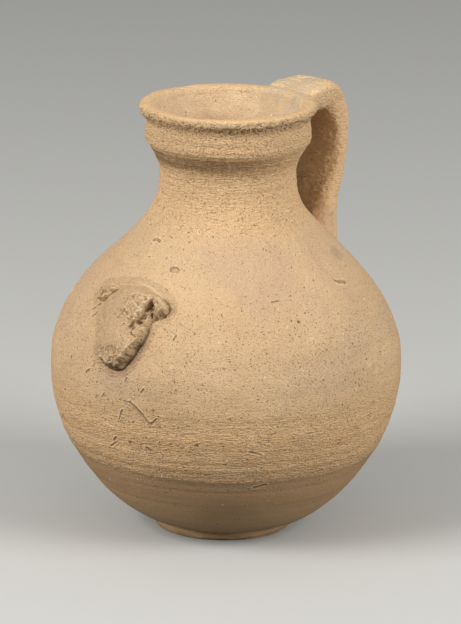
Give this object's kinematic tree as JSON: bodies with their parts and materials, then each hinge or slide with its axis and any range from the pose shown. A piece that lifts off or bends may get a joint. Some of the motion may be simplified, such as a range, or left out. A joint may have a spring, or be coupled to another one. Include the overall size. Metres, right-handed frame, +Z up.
{
  "type": "collared pouring jug",
  "caption": "Globular unglazed earthenware jug on a low disc foot, with a waisted neck, collared rolled-lip mouth, strap handle and an applied horned animal's head on the shoulder.",
  "frame": {"origin": "centre of the foot's flat underside, on the table", "axes": "+Z up along the jug's turning axis, +Y towards the handle, -Y towards the animal's head"},
  "size_m": [0.1774, 0.1818, 0.2226],
  "materials": {
    "body_clay": "matt unglazed buff earthenware with wheel lines, dark pits and pale grit",
    "turned_clay": "matt unglazed buff earthenware, smoothed where the base was trimmed",
    "rim_clay": "matt unglazed buff earthenware, rough on the lip's edge",
    "handle_clay": "matt unglazed buff earthenware, worn greyish on top",
    "head_clay": "matt unglazed buff earthenware, hand-pressed and crumbly at the edges"
  },
  "bodies": {
    "root": {"foot": "turned_clay", "body_lower": "turned_clay", "body_upper": "body_clay", "neck": "body_clay", "mouth_collar": "rim_clay", "handle": "handle_clay", "animal_head": "head_clay", "right_horn": "head_clay", "left_horn": "head_clay", "right_ear": "head_clay"}
  },
  "joints": []
}
